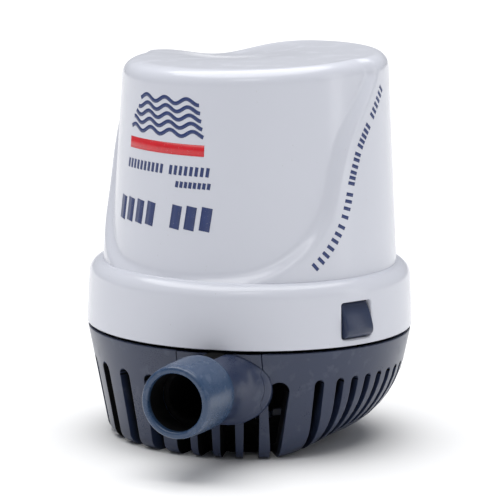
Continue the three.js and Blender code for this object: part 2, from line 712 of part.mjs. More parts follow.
addNode("control_board", makeBoard(), "circuitGreen");
addNode("relay", box([boardX - 16, 32, 88], [boardX - 1, boardY - gap, 107]), "blackPlastic");
addNode("controller_chip", box([boardX + 4, 38, 72], [boardX + 12, boardY - gap, 80]), "blackPlastic");
addNode("power_transistor", box([boardX + 4, 35, 96], [boardX + 14, boardY - gap, 110]), "blackPlastic");
addNode(
  "terminal_block",
  box([boardX - 8, boardY + 1.6 + gap, 68], [boardX + 6, boardY + 9, 78]),
  "naturalPlastic",
);
[78, 66.5].forEach((height, i) =>
  addNode(
    "capacitor_" + (i + 1),
    turnedOutwards([[0, 0], [3.6, 0], [3.6, 5.5], [0, 5.5]], boardX - 10 + i * 9, boardY - gap, height, 20),
    "zincSteel",
  ));

// Two board posts stand on the flange, so the board's screws run along Y into them.
boardScrewPlaces.forEach(([x, z], i) => {
  addNode("board_post_" + (i + 1),
    cut(box([x - 3, boardY + 1.6 + gap, flangeTop + gap], [x + 3, boardY + 7, z + 4]),
      [turnedOutwards([[0, 0], [1.7, 0], [1.7, 12], [0, 12]], x, boardY + 10, z, 10)]),
    "blackPlastic");
  addNode("board_screw_" + (i + 1),
    screwUp(2.8, 1.3, 6).rotate([-90, 0, 0]).translate([x, boardY - gap, z]), "steel");
});

const [sensorX, sensorY] = sensorPlace;
addNode("sensor_housing",
  turned([[4, 24], [6, 24], [6, flangeTop + gap], [7.6, flangeTop + gap], [7.6, 53], [0, 53],
    [0, 50], [4, 50], [4, 24]], 32),
  "blackPlastic", [sensorX, sensorY, 0]);
addNode("sensor_lens",
  turned([[0, 23], [2, 23.2], [3.7, 24.4], [3.7, 30], [0, 30]], 28), "lens", [sensorX, sensorY, 0]);

// ---- cable inlet -----------------------------------------------------------------------------------

const alongGland = (points, sides) =>
  turnedOutwards(points, glandPlace.x, glandFace, glandPlace.z, sides);
const glandDepth = glandFace - glandBack;

addNode("cable_grommet",
  alongGland([[2.6, -2.4], [6, -2.4], [7, -1.6], [7, -gap], [5, -gap], [5, glandDepth + 3],
    [2.6, glandDepth + 3], [2.6, -2.4]], 20),
  "rubber");
addNode("gland_clamp",
  alongGland([[5.4, glandDepth + gap], [7.2, glandDepth + gap], [7.2, glandDepth + 2.6],
    [5.4, glandDepth + 2.6], [5.4, glandDepth + gap]], 20),
  "blackPlastic");

export default group;
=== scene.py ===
# Looks of a submersible bilge pump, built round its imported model.
# Shapes are worked out in millimetres and turned into metres when a mesh is made.
import json
import math
import bmesh
import bpy
import numpy as np
from mathutils import Matrix, Vector


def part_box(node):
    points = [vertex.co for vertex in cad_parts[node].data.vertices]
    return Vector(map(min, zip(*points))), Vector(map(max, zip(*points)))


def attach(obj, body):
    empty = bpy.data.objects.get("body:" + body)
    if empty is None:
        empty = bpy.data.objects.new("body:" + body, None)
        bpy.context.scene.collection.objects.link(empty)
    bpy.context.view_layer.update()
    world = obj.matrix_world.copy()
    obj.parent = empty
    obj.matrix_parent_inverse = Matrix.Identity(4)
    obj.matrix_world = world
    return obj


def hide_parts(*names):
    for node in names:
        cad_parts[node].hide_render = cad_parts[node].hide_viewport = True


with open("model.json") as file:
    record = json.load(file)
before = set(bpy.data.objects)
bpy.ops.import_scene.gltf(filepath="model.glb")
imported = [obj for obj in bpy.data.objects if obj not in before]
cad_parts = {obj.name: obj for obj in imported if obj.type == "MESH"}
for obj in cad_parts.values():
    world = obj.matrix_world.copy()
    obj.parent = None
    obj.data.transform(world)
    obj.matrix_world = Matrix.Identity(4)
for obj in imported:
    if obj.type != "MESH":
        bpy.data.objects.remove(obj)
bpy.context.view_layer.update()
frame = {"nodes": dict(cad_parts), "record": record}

mm = 0.001
deg = math.pi / 180
pump = "pump_body"
scene = bpy.context.scene
slotOf = {part["node"]: part["material_slot"] for part in frame["record"]["subparts"]}


def cornersOf(node):
    low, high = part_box(node)
    return low / mm, high / mm


# node graphs: one wrapper for sockets, one method for nodes

class Wire:
    # a socket that can stand in a sum
    def __init__(self, graph, socket):
        self.graph = graph
        self.socket = socket

    def sum(self, operation, first, second):
        return self.graph.add("ShaderNodeMath", {"operation": operation}, {0: first, 1: second})

    def __add__(self, other):
        return self.sum("ADD", self, other)

    def __radd__(self, other):
        return self.sum("ADD", other, self)

    def __sub__(self, other):
        return self.sum("SUBTRACT", self, other)

    def __rsub__(self, other):
        return self.sum("SUBTRACT", other, self)

    def __mul__(self, other):
        return self.sum("MULTIPLY", self, other)

    def __rmul__(self, other):
        return self.sum("MULTIPLY", other, self)

    def __lt__(self, other):
        return self.sum("LESS_THAN", self, other)


class Graph:
    def __init__(self, tree):
        self.tree = tree

    def add(self, kind, settings, sockets, output=None):
        node = self.tree.nodes.new(kind)
        for key, value in settings.items():
            setattr(node, key, value)
        for key, value in sockets.items():
            self.feed(self.inputOf(node, key), value)
        shown = [socket for socket in node.outputs if socket.enabled]
        found = [socket for socket in shown if socket.name == output]
        return Wire(self, (found or shown)[0])

    def inputOf(self, node, key):
        if isinstance(key, int):
            return node.inputs[key]
        return next(socket for socket in node.inputs if socket.enabled and socket.name == key)

    def feed(self, socket, value):
        if isinstance(value, list):
            for part in value:
                self.tree.links.new(part.socket, socket)
        elif isinstance(value, Wire):
            self.tree.links.new(value.socket, socket)
        else:
            socket.default_value = value


# finishes

class Finish(Graph):
    # a material whose shader starts plain and is fed by name
    def __init__(self, name, **plain):
        self.material = bpy.data.materials.new(name)
        self.material.use_nodes = True
        super().__init__(self.material.node_tree)
        self.shader = self.tree.nodes["Principled BSDF"]
        for key, value in plain.items():
            self.shader.inputs[key.replace("_", " ")].default_value = value

    def place(self):
        return self.add("ShaderNodeTexCoord", {}, {}, "Object")

    def noise(self, size, detail=3.0, place=None):
        scale = 1 / (size * mm)
        sockets = {"Vector": place or self.place(), "Scale": scale, "Detail": detail}
        return self.add("ShaderNodeTexNoise", {}, sockets)

    def between(self, share, first, second):
        return self.add("ShaderNodeMix", {"data_type": "RGBA"}, {"Factor": share, "A": first, "B": second})

    def cells(self, size):
        sockets = {"Vector": self.place(), "Scale": 1 / (size * mm)}
        return self.add("ShaderNodeTexVoronoi", {}, sockets, "Distance")

    def clamp(self, value, low, high, start=0.0, end=1.0):
        sockets = {"Value": value, "From Min": low, "From Max": high, "To Min": start, "To Max": end}
        return self.add("ShaderNodeMapRange", {"clamp": True}, sockets)

    def bump(self, height, depth, strength=1.0, under=None):
        sockets = {"Strength": strength, "Distance": depth * mm, "Height": height}
        if under is not None:
            sockets["Normal"] = under
        return self.add("ShaderNodeBump", {}, sockets)

    def wear(self, **fed):
        for key, value in fed.items():
            self.feed(self.inputOf(self.shader, key.replace("_", " ")), value)
        return self.material


def tone(color, factor=1.0):
    return (*[min(1.0, part * factor) for part in color], 1.0)


whiteLook = {"color": (0.645, 0.66, 0.725), "roughness": 0.17, "peel": 0.012, "speck": 0.35}


def whitePlastic():
    # glossy white moulding: slow shade drift, faint orange peel, a few dust specks and rubbed patches
    finish = Finish("whitePlastic", Specular_IOR_Level=0.5, IOR=1.5)
    drift = finish.noise(34)
    rubbed = finish.clamp(finish.noise(9, 6.0), 0.5, 0.75)
    dust = finish.cells(3.4)
    speck = finish.clamp(dust, 0.045, 0.09, 1.0, 0.0) * finish.clamp(finish.noise(15), 0.52, 0.6)
    base = finish.between(drift, tone(whiteLook["color"], 0.985), tone(whiteLook["color"], 1.01))
    color = finish.between(speck * whiteLook["speck"], base, tone((0.45, 0.44, 0.42)))
    rough = rubbed * 0.07 + whiteLook["roughness"] + finish.noise(0.7, 2.0) * 0.03
    waves = finish.bump(finish.noise(2.6, 2.0), whiteLook["peel"], 0.5)
    normal = finish.bump(finish.noise(22, 1.0), 0.05, 0.4, waves)
    return finish.wear(Base_Color=color, Roughness=rough, Normal=normal)


slateLook = {"color": (0.023, 0.034, 0.074), "worn": (0.13, 0.15, 0.20), "edge": 0.45}
outletLook = {"color": (0.028, 0.058, 0.120), "worn": (0.16, 0.20, 0.28), "edge": 0.4}


def navyPlastic(name, look, roughness):
    # semi-gloss moulding, rubbed pale in random patches, with its edges rounded by a bevel in the shading;
    # where it lies deep inside (the depth attribute) its colour is darkened as painted shade and its
    # roughness raised
    finish = Finish(name, Specular_IOR_Level=0.5, IOR=1.5)
    inside = finish.add("ShaderNodeAttribute", {"attribute_name": "depth"}, {}, "Fac")
    grain = finish.noise(0.45, 2.0)
    drift = finish.noise(16, 4.0)
    scuffs = finish.clamp(finish.noise(5, 9.0), 0.58, 0.7)
    base = finish.between(drift, tone(look["color"], 0.88), tone(look["color"], 1.14))
    color = finish.between(scuffs * 0.22, base, tone(look["worn"]))
    # painted shade: the colour darkens towards near-black with depth inside slots, bores and gaps
    shaded = finish.between(finish.clamp(inside, 0.5, 3.4), color, tone(look["color"], 0.05))
    rough = drift * 0.08 + grain * 0.06 + scuffs * 0.1 + (roughness - 0.08)
    soft = finish.add("ShaderNodeBevel", {"samples": 6}, {"Radius": look["edge"] * mm})
    normal = finish.bump(finish.noise(1.8, 3.0), 0.02, 0.5, finish.bump(grain, 0.006, 0.4, soft))
    deepRoughness = finish.clamp(inside, 0.5, 3.4) * 0.3
    return finish.wear(Base_Color=shaded, Roughness=rough + deepRoughness, Normal=normal)


def satinPlastic(name, color, roughness):
    finish = Finish(name)
    grain = finish.noise(0.5, 3.0)
    base = finish.between(finish.noise(7, 5.0), tone(color, 0.8), tone(color, 1.25))
    normal = finish.bump(grain, 0.02, 0.6)
    return finish.wear(Base_Color=base, Roughness=grain * 0.16 + roughness, Normal=normal)


def turnedMetal(name, color, roughness, grooves=0.25):
    # machined metal: fine turning lines up the axis and stains
    finish = Finish(name, Metallic=1.0)
    stain = finish.clamp(finish.noise(4, 8.0), 0.45, 0.8)
    up = finish.add("ShaderNodeSeparateXYZ", {}, {0: finish.place()}, "Z")
    lines = finish.add("ShaderNodeMath", {"operation": "SINE"}, {0: up * (2 * math.pi / (grooves * mm))})
    base = finish.between(stain, tone(color), tone(color, 0.62))
    return finish.wear(
        Base_Color=base, Roughness=stain * 0.18 + lines * 0.03 + roughness,
        Normal=finish.bump(lines, 0.006, 0.5, finish.bump(finish.noise(0.9), 0.01, 0.5)))


def moltenWire():
    # enamelled copper wire lying in the slots
    finish = Finish("copper", Metallic=1.0, Coat_Weight=0.3)
    parts = finish.add("ShaderNodeSeparateXYZ", {}, {0: finish.place()}, "Z")
    strands = finish.add("ShaderNodeMath", {"operation": "SINE"}, {0: parts * (2 * math.pi / (0.7 * mm))})
    lit = finish.clamp(strands, -1.0, 1.0)
    # painted shade and highlight: the colour darkens between the strands and brightens on their crests
    base = finish.between(lit, tone((0.30, 0.10, 0.035)), tone((0.62, 0.25, 0.09)))
    rough = finish.noise(2) * 0.2 + 0.2
    return finish.wear(Base_Color=base, Roughness=rough, Normal=finish.bump(strands, 0.12))


def softRubber():
    finish = Finish("rubber")
    grain = finish.noise(0.35, 4.0)
    bloom = finish.clamp(finish.noise(6, 7.0), 0.45, 0.8)
    base = finish.between(bloom, tone((0.010, 0.010, 0.011)), tone((0.035, 0.035, 0.036)))
    return finish.wear(Base_Color=base, Roughness=grain * 0.15 + 0.65, Normal=finish.bump(grain, 0.04, 0.7))


def circuitBoard():
    # solder mask over copper tracks on a 2.5 mm grid
    finish = Finish("circuitGreen", Coat_Weight=0.4)
    facing = finish.add("ShaderNodeVectorMath", {"operation": "MULTIPLY"}, {0: finish.place(), 1: (1, 0, 1)})
    tracks = finish.add("ShaderNodeTexBrick", {"offset": 0.5}, {
        "Vector": facing, "Scale": 1 / (7 * mm), "Mortar Size": 0.035, "Mortar Smooth": 0.2}, "Fac")
    base = finish.between(tracks, tone((0.010, 0.085, 0.035)), tone((0.035, 0.17, 0.065)))
    rough = finish.noise(1.5) * 0.15 + 0.3
    return finish.wear(Base_Color=base, Roughness=rough, Normal=finish.bump(tracks, 0.05))


def sinteredStone(name, color):
    finish = Finish(name)
    pits = finish.cells(0.8)
    base = finish.between(pits, tone(color, 0.7), tone(color, 1.7))
    return finish.wear(Base_Color=base, Roughness=pits * 0.2 + 0.55, Normal=finish.bump(pits, 0.05, 0.6))


def printInk(name, color):
    # pad-printed ink: slightly uneven, with pinholes where the film is thin
    finish = Finish(name)
    thin = finish.clamp(finish.noise(0.5, 5.0), 0.66, 0.74)
    base = finish.between(finish.noise(2.5), tone(color, 0.85), tone(color, 1.25))
    worn = finish.between(thin * 0.5, base, tone(whiteLook["color"], 0.8))
    return finish.wear(Base_Color=worn, Roughness=finish.noise(0.8) * 0.15 + 0.25,
                       Normal=finish.bump(finish.noise(0.6), 0.01, 0.5))


def shadedInside():
    # the same moulding painted near-black as shade where it lies deep inside, with noise varying the dark
    # tone and roughness
    finish = Finish("paintedShadeInside", Specular_IOR_Level=0.12)
    paintedShade = finish.clamp(finish.noise(3, 7.0), 0.4, 0.75)
    base = finish.between(paintedShade, tone((0.0022, 0.0026, 0.0036)), tone((0.0075, 0.0072, 0.007)))
    return finish.wear(Base_Color=base, Roughness=paintedShade * 0.2 + 0.7, Normal=finish.bump(paintedShade, 0.05, 0.6))


# a near-black finish that stands in for the shade deep inside the pump
paintedShadeFinish = shadedInside()
finishes = {
    "white_plastic": whitePlastic(),
    "slate_plastic": navyPlastic("slatePlastic", slateLook, 0.30),
    "outlet_plastic": navyPlastic("outletPlastic", outletLook, 0.27),
    "black_plastic": satinPlastic("blackPlastic", (0.012, 0.012, 0.013), 0.42),
    "natural_plastic": satinPlastic("naturalPlastic", (0.62, 0.56, 0.42), 0.35),
    "lens_plastic": satinPlastic("lensPlastic", (0.05, 0.012, 0.016), 0.05),
    "circuit_green": circuitBoard(),
    "rubber": softRubber(),
    "steel": turnedMetal("steel", (0.60, 0.60, 0.61), 0.22),
    "zinc_steel": turnedMetal("zincSteel", (0.45, 0.46, 0.48), 0.3, 0.5),
    "brass": turnedMetal("brass", (0.62, 0.44, 0.17), 0.25),
    "bronze": turnedMetal("bronze", (0.36, 0.19, 0.09), 0.35, 0.4),
    "copper": moltenWire(),
    "ferrite": sinteredStone("ferrite", (0.03, 0.03, 0.032)),
    "carbon": sinteredStone("carbon", (0.02, 0.02, 0.02)),
}
navyInk = printInk("navyInk", (0.018, 0.036, 0.135))
redInk = printInk("redInk", (0.60, 0.012, 0.022))
for name, node in frame["nodes"].items():
    node.data.materials.clear()
    node.data.materials.append(finishes[slotOf[name]])
print("finishes ready")


# mesh helpers

def newPiece(name, points, faces, finish=None):
    shape = bpy.data.meshes.new(name)
    shape.from_pydata([tuple(point) for point in np.asarray(points, float) * mm], [], faces)
    piece = bpy.data.objects.new(name, shape)
    scene.collection.objects.link(piece)
    if finish:
        shape.materials.append(finish)
    return piece


def outwards(piece):
    work = bmesh.new()
    work.from_mesh(piece.data)
    bmesh.ops.remove_doubles(work, verts=work.verts, dist=1e-7)
    bmesh.ops.recalc_face_normals(work, faces=work.faces)
    work.to_mesh(piece.data)
    work.free()
    return piece


def roundShaded(piece, angle=32):
    piece.data.polygons.foreach_set("use_smooth", [True] * len(piece.data.polygons))
    piece.data.set_sharp_from_angle(angle=angle * deg)
    return piece


# A closed skin through rings of points, with a single point at each end.
def skin(name, start, rings, end, finish=None):
    rings = np.asarray(rings, float)
    rows, columns = rings.shape[:2]
    points = np.vstack([[start], rings.reshape(-1, 3), [end]])
    at = lambda row, column: 1 + row * columns + column % columns
    faces = [(0, at(0, c + 1), at(0, c)) for c in range(columns)]
    faces += [(at(r, c), at(r, c + 1), at(r + 1, c + 1), at(r + 1, c))
              for r in range(rows - 1) for c in range(columns)]
    last = len(points) - 1
    faces += [(at(rows - 1, c), at(rows - 1, c + 1), last) for c in range(columns)]
    return outwards(newPiece(name, points, faces, finish))


# A closed ring of rings, such as a tube with a wall.
def loopSkin(name, rings, finish=None):
    rings = np.asarray(rings, float)
    rows, columns = rings.shape[:2]
    at = lambda row, column: (row % rows) * columns + column % columns
    faces = [(at(r, c), at(r, c + 1), at(r + 1, c + 1), at(r + 1, c))
             for r in range(rows) for c in range(columns)]
    return outwards(newPiece(name, rings.reshape(-1, 3), faces, finish))


# A prism over an outline, between two offsets along a direction.
def prism(name, outline, offset, finish=None):
    base = np.asarray(outline, float)
    count = len(base)
    faces = [tuple(range(count)), tuple(range(2 * count - 1, count - 1, -1))]
    faces += [(i, (i + 1) % count, count + (i + 1) % count, count + i) for i in range(count)]
    return outwards(newPiece(name, np.vstack([base, base + np.asarray(offset, float)]), faces, finish))


def block(name, low, high, turn=0.0):
    (x0, y0, z0), (x1, y1, z1) = low, high
    piece = prism(name, [(x0, y0, z0), (x1, y0, z0), (x1, y1, z0), (x0, y1, z0)], (0, 0, z1 - z0))
    piece.data.transform(Matrix.Rotation(turn, 4, "Z"))
    return piece


# Applies a piece's modifiers, so that its mesh is plain.
def settle(piece):
    bpy.context.view_layer.update()
    solved = piece.evaluated_get(bpy.context.evaluated_depsgraph_get())
    shape = bpy.data.meshes.new_from_object(solved)
    piece.modifiers.clear()
    piece.data = shape
    return piece


def combine(piece, tool, operation="DIFFERENCE"):
    modifier = piece.modifiers.new("combine", "BOOLEAN")
    modifier.operation = operation
    modifier.solver = "MANIFOLD"
    modifier.object = tool
    settle(piece)
    bpy.data.objects.remove(tool)
    return piece


def circle(count):
    return np.arange(count) * 2 * math.pi / count


def arc(centre, radius, start, end, steps):
    turns = np.linspace(start, end, steps + 1) * deg
    return [(centre[0] + radius * math.cos(t), centre[1] + radius * math.sin(t)) for t in turns]


# Points of [radius, height] turned about Z.
def turnedRings(profile, columns):
    around = circle(columns)
    return [np.stack([r * np.cos(around), r * np.sin(around), np.full(columns, h)], 1) for r, h in profile]


# The same about the outlet-like axis along Y through (x, z), with heights towards -Y from y.
def outwardRings(profile, x, y, z, columns):
    return [ring[:, [0, 2, 1]] * [1, -1, 1] + [x, y, z] for ring in turnedRings(profile, columns)]


def placed(piece, body, *nodes, slot):
    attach(piece, body)
    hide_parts(*nodes)
    return piece


# outlines shared by the base and the cap

baseHigh = cornersOf("strainer_base")[1]
capLow, capHigh = cornersOf("cap")
nozzleLow, nozzleHigh = cornersOf("outlet_nozzle")
outletX = (nozzleLow.x + nozzleHigh.x) / 2
outletZ = (nozzleLow.z + nozzleHigh.z) / 2
rim = baseHigh.z
body = {
    "lean": 0.203, "bilgeAngle": 22, "floor": 3, "slotTop": 32.3,
    "underside": (6, 40), "bowl": (8, 28),  # corner radius, plain and on the bilge side
}


def smooth(t):
    t = np.clip(t, 0, 1)
    return t * t * (3 - 2 * t)


def planRadius(angle):
    return 1 / np.hypot(np.cos(angle) / baseHigh.x, np.sin(angle) / baseHigh.y)


def bilgeShare(angle):
    return smooth((np.cos(angle - body["bilgeAngle"] * deg) - 0.15) / 0.75)


def polar(radius, angle, height):
    return np.stack([radius * np.cos(angle), radius * np.sin(angle), height + 0 * angle], -1)


# strainer base

def cornerAt(share, angle, form="underside"):
    lean = math.atan(body["lean"])
    plain, large = body[form]
    roundness = plain + (large - plain) * bilgeShare(angle)
    tangentHeight = roundness * (1 - math.sin(lean))
    wall = planRadius(angle) - (rim - tangentHeight) * body["lean"]
    turn = -math.pi / 2 + share * (math.pi / 2 - lean)
    centre = wall - roundness * math.cos(lean)
    return centre + roundness * np.cos(turn), roundness + roundness * np.sin(turn)


def wallAt(height, angle):
    return planRadius(angle) - (rim - height) * body["lean"]


# Radius of the outer surface at any height, corner included.
def outerAt(height, angle):
    lean = math.atan(body["lean"])
    plain, large = body["underside"]
    roundness = plain + (large - plain) * bilgeShare(angle)
    tangentHeight = roundness * (1 - math.sin(lean))
    centre = planRadius(angle) - (rim - tangentHeight) * body["lean"] - roundness * math.cos(lean)
    drop = np.clip(roundness - height, 0, roundness)
    rounded = centre + np.sqrt(roundness ** 2 - drop ** 2)
    return np.where(height > tangentHeight, wallAt(height, angle), rounded)


strainerLook = {"columns": 240, "cornerRows": 12, "wallRows": 10, "rimRound": 0.5, "finDepth": 9}


def strainerSkin(name, grow=0.0, top=None):
    # the outer surface closed by a hollow; with grow it is only the outer form, swollen
    around = circle(strainerLook["columns"])
    rings = []
    for share in np.linspace(0, 1, strainerLook["cornerRows"]):
        radius, height = cornerAt(share, around)
        rings.append(polar(radius + grow, around, height - grow))
    wallTop = top or rim - strainerLook["rimRound"]
    tangent = rings[-1][:, 2]
    for share in np.linspace(0, 1, strainerLook["wallRows"] + 1)[1:]:
        height = tangent + (wallTop - tangent) * share
        rings.append(polar(wallAt(height, around) + grow, around, height))
    slate = finishes["slate_plastic"]
    if grow:
        return skin(name, (0, 0, -grow), rings, (0, 0, wallTop), slate)
    edge = strainerLook["rimRound"]
    rings += [polar(wallAt(rim, around) - 0.15 * edge, around, rim - 0.4 * edge),
              polar(wallAt(rim, around) - 0.6 * edge, around, rim),
              polar(wallAt(rim, around) - 1.8, around, rim)]
    for height, inset in ((40.6, 1.8), (40.6, 3.4), (33, 3.4), (27, strainerLook["finDepth"])):
        rings.append(polar(wallAt(height, around) - inset, around, height))
    radius, height = cornerAt(0.62, around, "bowl")
    rings.append(polar(radius - strainerLook["finDepth"], around, np.maximum(height, body["floor"] + 2)))
    radius, height = cornerAt(0.3, around, "bowl")
    rings.append(polar(radius - strainerLook["finDepth"] - 2, around, body["floor"]))
    return skin(name, (0, 0, 0), rings, (0, 0, body["floor"]), slate)


# Plan angle, width at the top and share of it left at the bottom, for each intake slot.
def slotList():
    slots = [(angle, 6.4, 0.95) for angle in np.arange(-232.2, -118, 14.2)]
    slots += [(-104.8, 6.2, 1.0)] + [(angle, 6.0, 1.0) for angle in np.arange(-92.2, -64, 9.3)]
    slots += [(-54.5, 8.6, 0.38), (-39, 4.1, 0.95)]
    return slots + [(angle, 3.6, 0.95) for angle in np.arange(-30.3, 106, 6.7)]


def slotTree():
    # a tapered box and a round end for each slot point, taken out of the shell in one cut
    tree = bpy.data.node_groups.new("intakeSlots", "GeometryNodeTree")
    sockets = (("Geometry", "NodeSocketGeometry"), ("Slots", "NodeSocketObject"),
               ("Depth", "NodeSocketFloat"), ("Finish", "NodeSocketMaterial"))
    for name, kind in sockets:
        tree.interface.new_socket(name, in_out="INPUT", socket_type=kind)
    tree.interface.new_socket("Geometry", in_out="OUTPUT", socket_type="NodeSocketGeometry")
    graph = Graph(tree)
    entry = tree.nodes.new("NodeGroupInput")
    given = {socket.name: Wire(graph, socket) for socket in entry.outputs if socket.name}
    read = lambda name: graph.add("GeometryNodeInputNamedAttribute", {"data_type": "FLOAT"}, {"Name": name})
    points = graph.add("GeometryNodeObjectInfo", {}, {"Object": given["Slots"]}, "Geometry")
    width, tall, turn, keep = read("width"), read("tall"), read("turn"), read("keep")
    spin = graph.add("ShaderNodeCombineXYZ", {}, {"Z": turn})

    def repeated(shape, height, lift):
        moved = graph.add("GeometryNodeSetPosition", {}, {
            "Geometry": points, "Offset": graph.add("ShaderNodeCombineXYZ", {}, {"Z": lift})})
        size = graph.add("ShaderNodeCombineXYZ", {}, {"X": given["Depth"], "Y": width, "Z": height})
        copies = graph.add("GeometryNodeInstanceOnPoints", {}, {
            "Points": moved, "Instance": shape, "Rotation": spin, "Scale": size})
        named = copies
        for name, value in (("side", turn), ("share", keep)):
            named = graph.add("GeometryNodeStoreNamedAttribute", {"domain": "INSTANCE"}, {
                "Geometry": named, "Name": name, "Value": value})
        return graph.add("GeometryNodeRealizeInstances", {}, {"Geometry": named})

    def tapered(shape):
        # draws the foot of each box in towards its own radial line
        place = graph.add("GeometryNodeInputPosition", {}, {})
        parts = [graph.add("ShaderNodeSeparateXYZ", {}, {0: place}, axis) for axis in "XYZ"]
        sine = graph.add("ShaderNodeMath", {"operation": "SINE"}, {0: read("side")})
        cosine = graph.add("ShaderNodeMath", {"operation": "COSINE"}, {0: read("side")})
        aside = parts[1] * cosine - parts[0] * sine
        low = parts[2] < body["slotTop"] * 0.6 * mm
        pull = aside * (read("share") - 1) * low
        offset = graph.add("ShaderNodeCombineXYZ", {}, {"X": pull * sine * -1, "Y": pull * cosine})
        return graph.add("GeometryNodeSetPosition", {}, {"Geometry": shape, "Offset": offset})

    cube = graph.add("GeometryNodeMeshCube", {}, {"Size": (1, 1, 1)})
    rod = graph.add("GeometryNodeMeshCylinder", {}, {"Vertices": 28, "Radius": 0.5, "Depth": 1.0}, "Mesh")
    lying = graph.add("GeometryNodeTransform", {}, {"Geometry": rod, "Rotation": (0, math.pi / 2, 0)})
    boxes = tapered(repeated(cube, tall, tall * -0.5))
    ends = repeated(lying, width, 0.0)
    cutter = graph.add("GeometryNodeMeshBoolean", {"operation": "DIFFERENCE", "solver": "EXACT"}, {
        "Mesh 1": given["Geometry"], "Mesh 2": [boxes, ends]}, "Mesh")
    plain = graph.add("GeometryNodeRealizeInstances", {}, {"Geometry": cutter})
    done = graph.add("GeometryNodeSetMaterial", {}, {"Geometry": plain, "Material": given["Finish"]})
    leave = tree.nodes.new("NodeGroupOutput")
    tree.links.new(done.socket, leave.inputs["Geometry"])
    return tree


def withTree(piece, tree, values):
    # inputs are set by identifier before the piece is first evaluated
    modifier = piece.modifiers.new(tree.name, "NODES")
    modifier.node_group = tree
    named = {item.name: item.identifier for item in tree.interface.items_tree if item.in_out == "INPUT"}
    for name, value in values.items():
        modifier[named[name]] = value
    return settle(piece)


def attribute(piece, name, values, kind="FLOAT"):
    layer = piece.data.attributes.new(name, kind, "POINT")
    field = "vector" if kind == "FLOAT_VECTOR" else "value"
    layer.data.foreach_set(field, np.ravel(values).astype(np.float32))


def slotPoints():
    slots = slotList()
    middle = 57.0
    angles = np.array([slot[0] for slot in slots]) * deg
    widths = np.array([slot[1] for slot in slots])
    ends = body["slotTop"] - widths / 2
    bottoms = -1 + 10.5 * bilgeShare(angles) ** 2
    piece = newPiece("slotPoints", polar(middle, angles, ends), [])
    attribute(piece, "width", widths * mm)
    attribute(piece, "tall", (ends - bottoms) * mm)
    attribute(piece, "turn", angles)
    attribute(piece, "keep", [slot[2] for slot in slots])
    return piece


def notchOutline(half, up):
    bottom = arc((outletX, outletZ), half, 180, 360, 40)
    points = [(outletX - half, up)] + bottom + [(outletX + half, up)]
    return [(x, 0, z) for x, z in points]


def notch(half, up):
    outline = np.array(notchOutline(half, up)) + [0, -40, 0]
    return prism("notch", outline, (0, -40, 0))


latchAngle = -25 * deg
latchTurns = {"right": latchAngle, "left": latchAngle + math.pi}
plateHalf = 16.2
gap = 0.3


def rodTool(radius, low, high, x, y, sides=48):
    rings = np.array(turnedRings([(radius, low), (radius, high)], sides)) + [x, y, 0]
    return skin("rod", (x, y, low), rings, (x, y, high))


def makeStrainer():
    piece = strainerSkin("strainerShell", 0.0)
    for x, y in ((-24, 17), (24, 17)):
        combine(piece, rodTool(7, 1, 5, x, y), "UNION")
        combine(piece, rodTool(2.4, -1, 9, x, y))
    combine(piece, notch(plateHalf + gap, rim + 4))
    for turn in latchTurns.values():
        combine(piece, block("well", (50, -9.5, 33.4), (59.6, 9.5, 38), turn))
    points = slotPoints()
    withTree(piece, slotTree(), {"Slots": points, "Depth": 34 * mm, "Finish": finishes["slate_plastic"]})
    bpy.data.objects.remove(points)
    for turn in latchTurns.values():
        combine(piece, block("catch", (57.8, -9, 38), (61.5, 9, 40.6), turn), "UNION")
    return piece


# How deep each point lies inside the outer surface, for the finish; faces deeper than the limit are given
# the near-black painted shade finish.
def markDepth(piece, depths, limit=1.5, measure=min):
    attribute(piece, "depth", depths)
    piece.data.materials.append(paintedShadeFinish)
    paintedShade = len(piece.data.materials) - 1
    for face in piece.data.polygons:
        if measure([depths[vertex] for vertex in face.vertices]) > limit:
            face.material_index = paintedShade


def pointsOf(piece):
    flat = np.zeros(len(piece.data.vertices) * 3)
    piece.data.vertices.foreach_get("co", flat)
    return flat.reshape(-1, 3) / mm


strainer = makeStrainer()
spots = pointsOf(strainer)
turns = np.arctan2(spots[:, 1], spots[:, 0])
sunk = np.clip(outerAt(spots[:, 2], turns) - np.hypot(spots[:, 0], spots[:, 1]), 0, 12)
# painted shade: faces deep in the slots and inside the base go near-black, and shallower ones darken with
# depth
markDepth(strainer, sunk, 2.5, np.mean)
roundShaded(strainer)
placed(strainer, "strainer", "strainer_base", slot="slate_plastic")
print("strainer base made", len(strainer.data.polygons))


# cap

capLook = {
    "shoulder": 70.5, "towerFoot": 58.6, "towerLean": 0.055, "wall": 2.6, "skirtLean": 0.04,
    "panelTurn": -97.5, "panelDepth": 3.2, "bevel": 5.5, "round": 6,
    "columns": 360, "towerRows": 74, "roundRows": 10, "topRows": 16,
}
panelEdge = [(0, 69.5), (32, 72.4), (51, 81.5), (63, 95.5), (69.5, 115), (78, 130.5), (104, 158)]
panelScale = 55 * deg  # sideways millimetres for a degree


# A smooth line through points, as an evenly divided uniform spline.
def throughPoints(points, steps):
    points = np.asarray(points, float)
    last = len(points) - 1
    made = []
    for place in np.linspace(0, last, steps + 1):
        i = min(int(place), last - 1)
        t = place - i
        before, here = points[max(i - 1, 0)], points[i]
        there, after = points[i + 1], points[min(i + 2, last)]
        lead, trail = (there - before) / 2, (after - here) / 2
        made.append((2 * here - 2 * there + lead + trail) * t ** 3
                    + (3 * there - 3 * here - 2 * lead - trail) * t ** 2 + lead * t + here)
    return np.array(made)


panelLine = throughPoints(panelEdge, 150) * [panelScale, 1]


